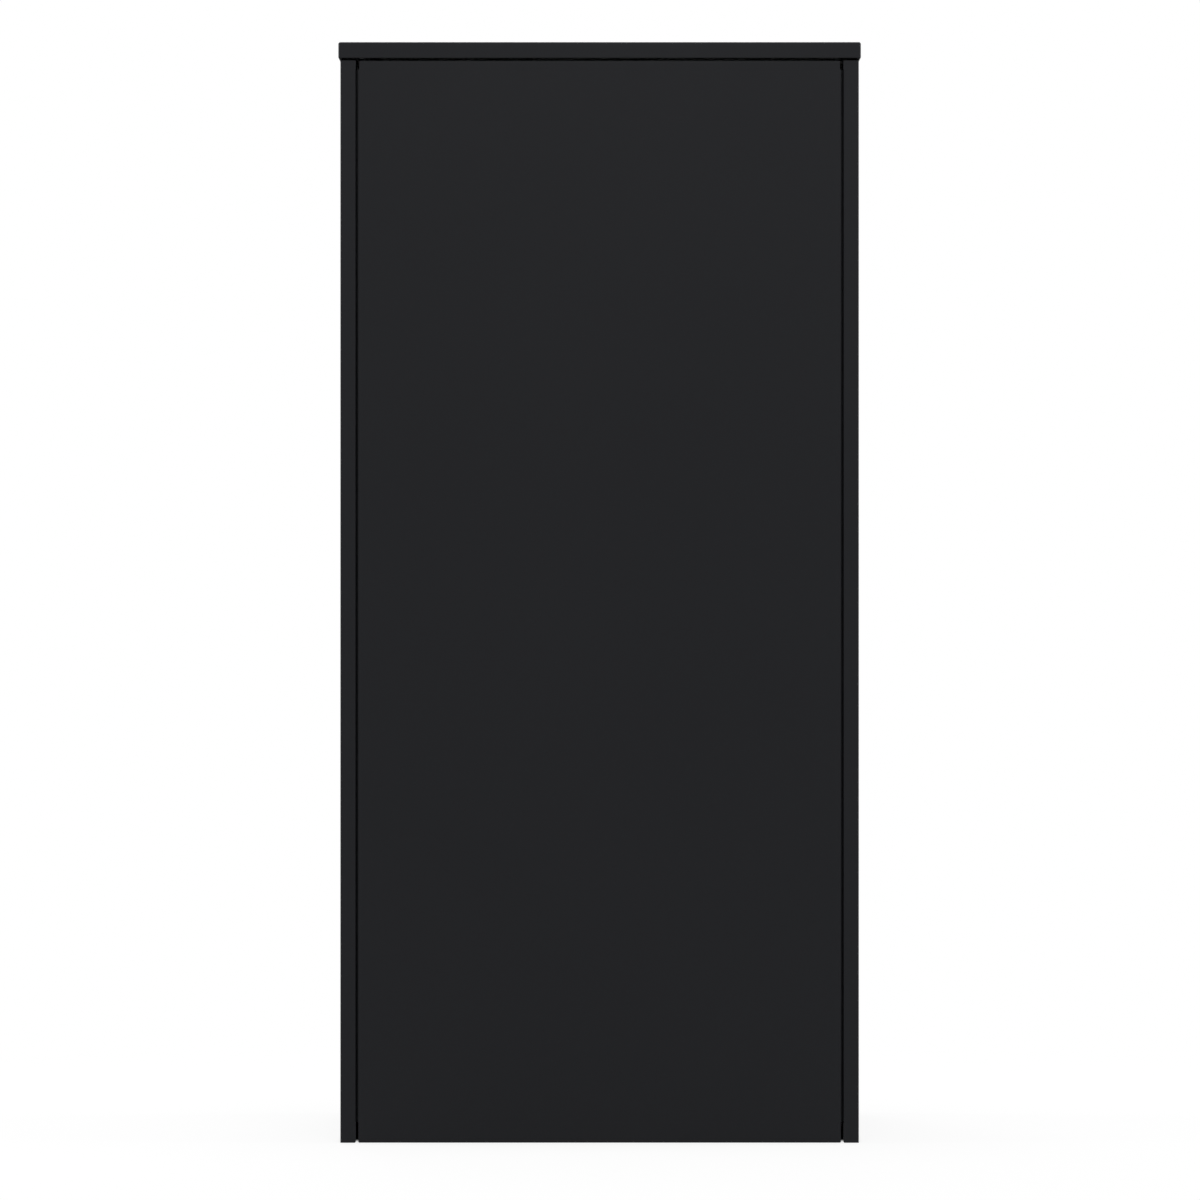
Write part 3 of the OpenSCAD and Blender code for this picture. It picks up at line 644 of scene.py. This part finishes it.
# The head's rim and crown are given as far in from its edge, with the distance from its seat and from its
# top. Each next screw stops a turn further, in radians
screw = {"head": 7.6, "headHeight": 1.9, "shank": 4, "tip": 1.2, "tipLength": 0.8,
         "rim": [(0.2, 0), (0, 0.25), (0.12, 0.9)], "crown": [(0.55, 0.35), (1.1, 0.05)],
         "arm": 4.4, "slot": 1.1, "recess": 1.1, "recessLead": 0.12, "recessTaper": (0.94, 0.45),
         "cabinetLength": 6, "slideLength": 3, "handleLength": 8, "turn": 2.4, "backRows": 5, "plinthRow": 4}


# Pan head screw with a cross recess. The recess's outline is r = min(arm / cos b, slot / sin b), with b
# folded into one eighth of a turn, and it tapers to its floor
def makeScrew(length, v):
    arm, slot, head, shank = v["arm"] / 2, v["slot"] / 2, v["head"] / 2, v["shank"] / 2
    top = v["headHeight"]
    side = np.arctan2(slot, arm)
    eighth = np.array([0, side, (side + np.pi / 4) / 2])
    quarter = np.concatenate([eighth, [np.pi / 4], np.pi / 2 - eighth[:0:-1]])
    a = (quarter + np.arange(4)[:, None] * np.pi / 2).ravel()
    b = abs((a + np.pi / 4) % (np.pi / 2) - np.pi / 4)
    cross = np.minimum(arm / np.cos(b), slot / np.maximum(np.sin(b), 1e-6))    # nothing is divided by 0
    rings = [(v["tip"], length), (shank, length - v["tipLength"]), (shank, 0),
             *((head - x, -z) for x, z in v["rim"]), *((head - x, z - top) for x, z in v["crown"])]
    r, z = np.array(rings).T
    turned = np.broadcast_to(r[:, None], (len(r), len(a)))
    radius = np.vstack([turned, cross, *(cross * taper for taper in v["recessTaper"])])
    height = np.concatenate([z, [-top, v["recessLead"] - top, v["recess"] - top]])
    height = np.broadcast_to(height[:, None], radius.shape)
    points = np.stack([radius * np.cos(a), radius * np.sin(a), height], -1).reshape(-1, 3)
    rows, count = radius.shape
    end = np.arange(count)[None]
    return outward(points, [gridFaces(rows, count), end[:, ::-1], end + (rows - 1) * count])


# Rows of screws: each place is under a head, and the way is its shank's
def addScrews(name, node, body, rows, v):
    every = [screwing for row in rows for screwing in row]
    shells = [aimed(shell, place, way, v["turn"] * k + len(rows))
              for k, (shell, place, way) in enumerate(every)]
    addPiece(name, shells, body, *zinc, [node], sharp=35)


# A shell for each place on the right and its mirror image on the left: (x, y, z) and (-x, y, z)
def bothSides(shell, places, way):
    return [(shell, (s * x, y, z), (s * way[0], way[1], way[2])) for x, y, z in places for s in (1, -1)]


# Middle of a node's box along an axis, in millimetres
def middleOf(node, axis):
    return np.mean([corner[axis] for corner in boxOf(node)])


# The screws of the cabinet's joints, placed inside the boxes of their nodes
def makeCabinetScrews(v):
    r, h, length = v["head"] / 2, v["headHeight"], v["cabinetLength"]
    long = makeScrew(length, v)
    low, high = boxOf("cap_screws")
    places = [(high[0] - r, y, low[2] + h) for y in (low[1] + r, middleOf("right_side", 1), high[1] - r)]
    addScrews("capScrews", "cap_screws", "cabinet", [bothSides(long, places, (0, 0, 1))], v)
    low, high = boxOf("back_screws")
    places = [(high[0] - r, low[1] + h, z) for z in np.linspace(low[2] + r, high[2] - r, v["backRows"])]
    addScrews("backScrews", "back_screws", "cabinet", [bothSides(long, places, (0, 1, 0))], v)
    low, high = boxOf("rail_screws")
    places = [(high[0] - length, low[1] + r, middleOf(node, 2)) for node in rails.values()]
    addScrews("railScrews", "rail_screws", "cabinet", [bothSides(long, places, (1, 0, 0))], v)
    low, high = boxOf("runner_screws")
    places = [(high[0] - length, middleOf(f"{place}_right_upright", 1), middleOf(f"runner_{i}_channels", 2))
              for i in drawers for place in ("front", "rear")]
    addScrews("runnerScrews", "runner_screws", "cabinet", [bothSides(long, places, (1, 0, 0))], v)
    low, high = boxOf("plinth_screws")
    across = np.linspace(low[0] + r, high[0] - r, v["plinthRow"])
    row = [(long, (x, high[1] - h, low[2] + r), (0, -1, 0)) for x in across]
    addScrews("plinthScrews", "plinth_screws", "cabinet", [row], v)


makeCabinetScrews(screw)
print("screws made")


drawerFront = {"depth": 18, "rim": 30, "corner": 1.6, "rimEdge": 0.3}
tipped = [[1, 0, 0], [0, 0, -1], [0, 1, 0]]              # turns a tray's face from +Z to -Y


# Folded pan whose face is to the front, with a rim on each side that is turned in behind it
def makeDrawerFront(i, v):
    low, high = boxOf(f"drawer_{i}_front")
    width, height = high[0] - low[0], high[2] - low[2]
    tray = ringShell(width, height, v["corner"], trayProfile(v["depth"], bend, t, v["rimEdge"]))
    tray = moved(tray, (0, low[1], (low[2] + high[2]) / 2), tipped)
    inner, outer = width / 2 - v["rim"], width / 2 - t / 2
    span = (low[2] + t / 2, high[2] - t / 2)
    rim = sheetShell([(inner, high[1]), (outer, high[1])], -t, bend, span, "z", cutEdge)
    addPiece(f"drawerFront{i}", [tray, *mirrored(rim)], f"drawer_{i}", *coat, [f"drawer_{i}_front"])


drawerBox = {"hem": 10, "hemBend": 0.04, "hemRoot": 2, "fold": 2.1, "gap": 0.1, "boreX": 64, "bore": 11.6,
             "floorCorner": 0.5}


# Four walls with hemmed top edges and a bottom, welded at the corners; the front wall has two bores to reach
# the handle's screws
def makeDrawerBox(i, v):
    low, high = boxOf(f"drawer_{i}_box")
    base, top, side = low[2], high[2], high[0]
    setIn, leaf = t + v["gap"], t + 2 * v["hemBend"]
    inner, hemStart = side - t - v["gap"], top - v["hem"] - v["hemRoot"]

    def hemmed(wall, inwards, start):                   # up the wall, and down again behind it
        behind = wall + inwards * v["fold"]
        return [(wall, start), (wall, top), (behind, top), (behind, top - v["hem"])]

    def setBack(section, start, stop):                  # the hem's inner leaf ends short at both ends
        inside = section[:, 0] < side - leaf
        return start + np.where(inside, setIn, 0), stop - np.where(inside, setIn, 0)

    sideWall = sheetShell(hemmed(side, -1, base), t, v["hemBend"], (low[1], high[1]), "y", cutEdge,
                          trim=setBack)
    rearWall = sheetShell(hemmed(high[1], -1, base), t, v["hemBend"], (-inner, inner), "x", cutEdge,
                          rounded=(False, False))
    frontHem = sheetShell(hemmed(low[1], 1, hemStart), -t, v["hemBend"], (-inner, inner), "x", cutEdge,
                          tips=(0, cutEdge), rounded=(False, False))
    bore = (v["boreX"], middleOf(f"drawer_{i}_handle", 2))
    halfWall = boredPlate((0, base), (inner, hemStart), (low[1], low[1] + t), bore, v["bore"] / 2)
    floor = plateShell(2 * inner, high[1] - low[1] - 2 * setIn, t, v["floorCorner"])
    floor = moved(floor, (0, (low[1] + high[1]) / 2, base))
    shells = [*mirrored(sideWall, halfWall), rearWall, frontHem, floor]
    addPiece(f"drawerBox{i}", shells, f"drawer_{i}", *coat, [f"drawer_{i}_box"])


handle = {"bar": 8, "bend": 5, "edge": 1.4}


# Bow bent from flat bar, with both ends on the drawer's front
def makeHandle(i, v):
    low, high = boxOf(f"drawer_{i}_handle")
    path = [(high[0], high[1]), (high[0], low[1]), (low[0], low[1]), (low[0], high[1])]
    shell = sheetShell(path, -v["bar"], v["bend"], (low[2], high[2]), "z", v["edge"], (cutEdge, cutEdge),
                       steps=16)
    addPiece(f"handle{i}", [shell], f"drawer_{i}", *coat, [f"drawer_{i}_handle"])


drawerScrews = {"frontX": 222.7, "frontHeights": (32, 142), "slideSheet": 1.2, "slideSetBack": 30,
                "handleX": 64}


# The screws on a drawer: box to front, slide to box, and handle to front
def makeDrawerScrews(i, v, size):
    frontLow = boxOf(f"drawer_{i}_front")[0]
    slideLow, slideHigh = boxOf(f"drawer_{i}_slides")
    boxLow, boxHigh = boxOf(f"drawer_{i}_box")
    slideX, slideZ = boxHigh[0] + v["slideSheet"], (slideLow[2] + slideHigh[2]) / 2
    frontPlaces = [(v["frontX"], boxLow[1] + t, frontLow[2] + z) for z in v["frontHeights"]]
    slideEnds = (slideLow[1] + v["slideSetBack"], slideHigh[1] - v["slideSetBack"])
    slidePlaces = [(slideX, y, slideZ) for y in slideEnds]
    handlePlaces = [(v["handleX"], frontLow[1] + t, middleOf(f"drawer_{i}_handle", 2))]
    rows = [
        bothSides(makeScrew(size["cabinetLength"], size), frontPlaces, (0, -1, 0)),
        bothSides(makeScrew(size["slideLength"], size), slidePlaces, (-1, 0, 0)),
        bothSides(makeScrew(size["handleLength"], size), handlePlaces, (0, -1, 0)),
    ]
    addScrews(f"drawerScrews{i}", f"drawer_{i}_screws", f"drawer_{i}", rows, size)


runner = {"sheet": 1.2, "depth": 11.2, "lip": 3.5, "edge": 0.2, "cageSheet": 0.8, "cageDepth": 9.5,
          "cageFold": 0.3, "ball": 4.76, "ballReach": 7.35, "ballRise": 13.65, "ballEnd": 8.38,
          "ballPitch": 12, "balls": 6, "ballRings": 12, "ballSides": 16, "poleAngle": 0.06}


# Both members of a pair of runners, and the cages with their balls between them. A ball is
# r = radius * sin b and z = radius * cos b
def makeRunners(i, v):
    low, high = boxOf(f"runner_{i}_channels")
    slideLow, slideHigh = boxOf(f"drawer_{i}_slides")
    cageLow, cageHigh = boxOf(f"runner_{i}_ball_cages")
    wall, bottom, top = high[0], low[2], high[2]
    middle, lipX = (bottom + top) / 2, wall - v["depth"]
    outer = [(lipX, bottom + v["lip"]), (lipX, bottom), (wall, bottom), (wall, top), (lipX, top),
             (lipX, top - v["lip"])]
    shell = sheetShell(outer, v["sheet"], bend, (low[1], high[1]), "y", v["edge"], steps=5)
    addPiece(f"runnerChannels{i}", mirrored(shell), "cabinet", *zinc, [f"runner_{i}_channels"])

    side, tip, bottom, top = boxOf(f"drawer_{i}_box")[1][0], slideHigh[0], slideLow[2], slideHigh[2]
    inner = [(tip, top), (side, top), (side, bottom), (tip, bottom)]
    shell = sheetShell(inner, v["sheet"], bend, (slideLow[1], slideHigh[1]), "y", v["edge"], steps=5)
    addPiece(f"drawerSlides{i}", mirrored(shell), f"drawer_{i}", *zinc, [f"drawer_{i}_slides"])

    tip, rear, reach = wall - v["cageDepth"], cageHigh[0], v["ballRise"] + v["cageSheet"] / 2
    cage = [(tip, middle - reach), (rear, middle - reach), (rear, middle + reach), (tip, middle + reach)]
    shell = sheetShell(cage, v["cageSheet"], v["cageFold"], (cageLow[1], cageHigh[1]), "y", v["edge"],
                       steps=4)
    addPiece(f"ballCages{i}", mirrored(shell), f"runner_{i}_cages", *zinc, [f"runner_{i}_ball_cages"])

    b = np.linspace(v["poleAngle"], np.pi - v["poleAngle"], v["ballRings"])
    ball = lathe(np.stack([v["ball"] / 2 * np.sin(b), v["ball"] / 2 * np.cos(b)], -1), v["ballSides"])
    first = cageLow[1] + v["ballEnd"]
    balls = [moved(ball, (wall - v["ballReach"], first + k * v["ballPitch"], middle + s * v["ballRise"]))
             for k in range(v["balls"]) for s in (-1, 1)]
    addPiece(f"balls{i}", mirrored(*balls), f"runner_{i}_cages", *bearing, [f"runner_{i}_ball_cages"])


for i in drawers:
    makeDrawerFront(i, drawerFront)
    makeDrawerBox(i, drawerBox)
    makeHandle(i, handle)
    makeDrawerScrews(i, drawerScrews, screw)
    makeRunners(i, runner)
print("drawers and runners made")


view = {"lens": 200, "sensor": 36, "frameWidth": 1.1983, "aside": -0.0004, "height": 0.5427, "farthest": 100}


# Level camera straight behind the chest, where the frame takes in frameWidth metres at the back:
# distance = width * lens / sensor
def makeCamera(v):
    data = bpy.data.cameras.new("camera")
    data.sensor_width = v["sensor"]
    data.lens = v["lens"]
    data.clip_end = v["farthest"]
    camera = bpy.data.objects.new("camera", data)
    bpy.context.scene.collection.objects.link(camera)
    distance = v["frameWidth"] * v["lens"] / v["sensor"]
    camera.location = (v["aside"], cadHigh.y + distance, v["height"])
    camera.rotation_euler = Vector((0, -1, 0)).to_track_quat("-Z", "Y").to_euler()
    bpy.context.scene.camera = camera


aim = (0, 0, 0.6)
lamps = {
    "rearKey": {"place": (-0.12, 2.4, 2.3), "size": 1.2, "power": 19},
    "frontKey": {"place": (0.25, -1.9, 2.7), "size": 1.4, "power": 34},
    "leftFill": {"place": (-2.4, 0.0, 1.9), "size": 1.6, "power": 40},
    "rightFill": {"place": (2.4, 0.0, 1.9), "size": 1.6, "power": 40},
}


# Soft square lamps, turned so that they look at the chest's middle
def makeLamps(v):
    for name, lamp in v.items():
        data = bpy.data.lights.new(name, "AREA")
        data.shape = "SQUARE"
        data.size = lamp["size"]
        data.energy = lamp["power"]
        light = bpy.data.objects.new(name, data)
        light.location = lamp["place"]
        light.rotation_euler = (Vector(aim) - Vector(lamp["place"])).to_track_quat("-Z", "Y").to_euler()
        light.visible_camera = False
        bpy.context.scene.collection.objects.link(light)


# Shows white to what looks at it, straight or in a reflection, and the lit colour to all else; a share
# between 0 and 1 may thin the white out
def whiteWhenSeen(nodes, links, lit, white, share=None):
    path, mixer = nodes.new("ShaderNodeLightPath"), nodes.new("ShaderNodeMixShader")
    seen = path.outputs["Is Camera Ray"]
    for ray in ("Is Glossy Ray", "Is Transmission Ray"):
        either = nodes.new("ShaderNodeMath")
        either.operation = "MAXIMUM"
        links.new(seen, either.inputs[0])
        links.new(path.outputs[ray], either.inputs[1])
        seen = either.outputs[0]
    if share:
        both = nodes.new("ShaderNodeMath")
        both.operation = "MULTIPLY"
        links.new(seen, both.inputs[0])
        links.new(share, both.inputs[1])
        seen = both.outputs[0]
    links.new(seen, mixer.inputs[0])
    links.new(lit, mixer.inputs[1])
    links.new(white, mixer.inputs[2])
    return mixer.outputs[0]


studio = {"ambient": 0.42, "floorColour": (0.9, 0.9, 0.9), "floorRoughness": 0.9, "floorSides": 96,
          "floorRings": (0.02, 0.5, 1, 2, 3), "inset": 0.004, "softEdge": 0.004, "whiteFrom": 0.86,
          "fade": 0.9, "paintedUnderLightEdges": (0.052, 0.010)}


# Even light from all sides, in front of a white that only the camera, gloss and clear things see
def makeWorld(v):
    world = bpy.data.worlds.new("studio")
    world.use_nodes = True
    nodes, links = world.node_tree.nodes, world.node_tree.links
    nodes.clear()
    lit, white = nodes.new("ShaderNodeBackground"), nodes.new("ShaderNodeBackground")
    for node, strength in ((lit, v["ambient"]), (white, 1)):
        node.inputs["Color"].default_value = (1, 1, 1, 1)
        node.inputs["Strength"].default_value = strength
    surface = whiteWhenSeen(nodes, links, lit.outputs[0], white.outputs[0])
    links.new(surface, nodes.new("ShaderNodeOutputWorld").inputs["Surface"])
    bpy.context.scene.world = world


# Round floor, (r cos a, r sin a, 0). Its paint is plain under the chest, where it keeps the chest's shadow,
# but near the chest's front and back edges it has painted light, white where light would reach in under the
# sheets' lower edges. It passes into the white of the backdrop with the distance from the chest's outline:
# distance = length of max(|place| - outline, 0)
def makeFloor(v):
    radius, sides = np.array(v["floorRings"])[:, None], v["floorSides"]
    a = np.arange(sides) * 2 * np.pi / sides
    points = np.stack([radius * np.cos(a), radius * np.sin(a), 0 * radius * a], -1).reshape(-1, 3)
    faces = gridFaces(len(radius), sides)[:, ::-1].tolist()
    mesh = bpy.data.meshes.new("floor")
    mesh.from_pydata(points.tolist(), [], [*faces, np.arange(sides).tolist()])
    floor = bpy.data.objects.new("floor", mesh)
    bpy.context.scene.collection.objects.link(floor)

    paint = bpy.data.materials.new("paleFloor")
    paint.use_nodes = True
    nodes, links = paint.node_tree.nodes, paint.node_tree.links
    shader = nodes["Principled BSDF"]
    shader.inputs["Base Color"].default_value = (*v["floorColour"], 1)
    shader.inputs["Roughness"].default_value = v["floorRoughness"]
    shader.inputs["Specular IOR Level"].default_value = 0
    white = nodes.new("ShaderNodeEmission")
    place = nodes.new("ShaderNodeTexCoord").outputs["Object"]
    absolute, past, away, distance = (nodes.new("ShaderNodeVectorMath") for _ in range(4))
    absolute.operation = "ABSOLUTE"
    past.operation = "SUBTRACT"
    past.inputs[1].default_value = (cadHigh.x - v["inset"], cadHigh.y - v["inset"], 0)
    away.operation = "MAXIMUM"
    distance.operation = "LENGTH"
    links.new(place, absolute.inputs[0])
    links.new(absolute.outputs[0], past.inputs[0])
    links.new(past.outputs[0], away.inputs[0])
    links.new(away.outputs[0], distance.inputs[0])

    scaled, ramp = nodes.new("ShaderNodeMath"), nodes.new("ShaderNodeValToRGB")
    scaled.operation = "DIVIDE"
    scaled.inputs[1].default_value = v["fade"]
    links.new(distance.outputs["Value"], scaled.inputs[0])
    links.new(scaled.outputs[0], ramp.inputs[0])
    ramp.color_ramp.elements[0].color = (0, 0, 0, 1)
    step = ramp.color_ramp.elements.new(v["softEdge"] / v["fade"])
    step.color = (v["whiteFrom"], v["whiteFrom"], v["whiteFrom"], 1)

    # Painted light on the shadowed floor under the chest, white towards its front and back edges
    depth, paintedUnderLight = nodes.new("ShaderNodeSeparateXYZ"), nodes.new("ShaderNodeMapRange")
    paintedUnderLight.interpolation_type = "SMOOTHSTEP"             # painted light: white where light would reach in under the sheets' lower edges
    paintedUnderLight.inputs["From Min"].default_value = cadHigh.y - v["paintedUnderLightEdges"][0]
    paintedUnderLight.inputs["From Max"].default_value = cadHigh.y - v["paintedUnderLightEdges"][1]
    paintedUnderLight.inputs["To Max"].default_value = v["whiteFrom"]
    links.new(absolute.outputs[0], depth.inputs[0])
    links.new(depth.outputs["Y"], paintedUnderLight.inputs["Value"])

    share = nodes.new("ShaderNodeMath")
    share.operation = "MAXIMUM"
    links.new(ramp.outputs[0], share.inputs[0])
    links.new(paintedUnderLight.outputs[0], share.inputs[1])
    surface = whiteWhenSeen(nodes, links, shader.outputs[0], white.outputs[0], share.outputs[0])
    links.new(surface, nodes["Material Output"].inputs["Surface"])
    mesh.materials.append(paint)


makeCamera(view)
makeLamps(lamps)
makeWorld(studio)
makeFloor(studio)
bpy.context.scene.view_settings.view_transform = "Standard"
print("camera, light and floor made")
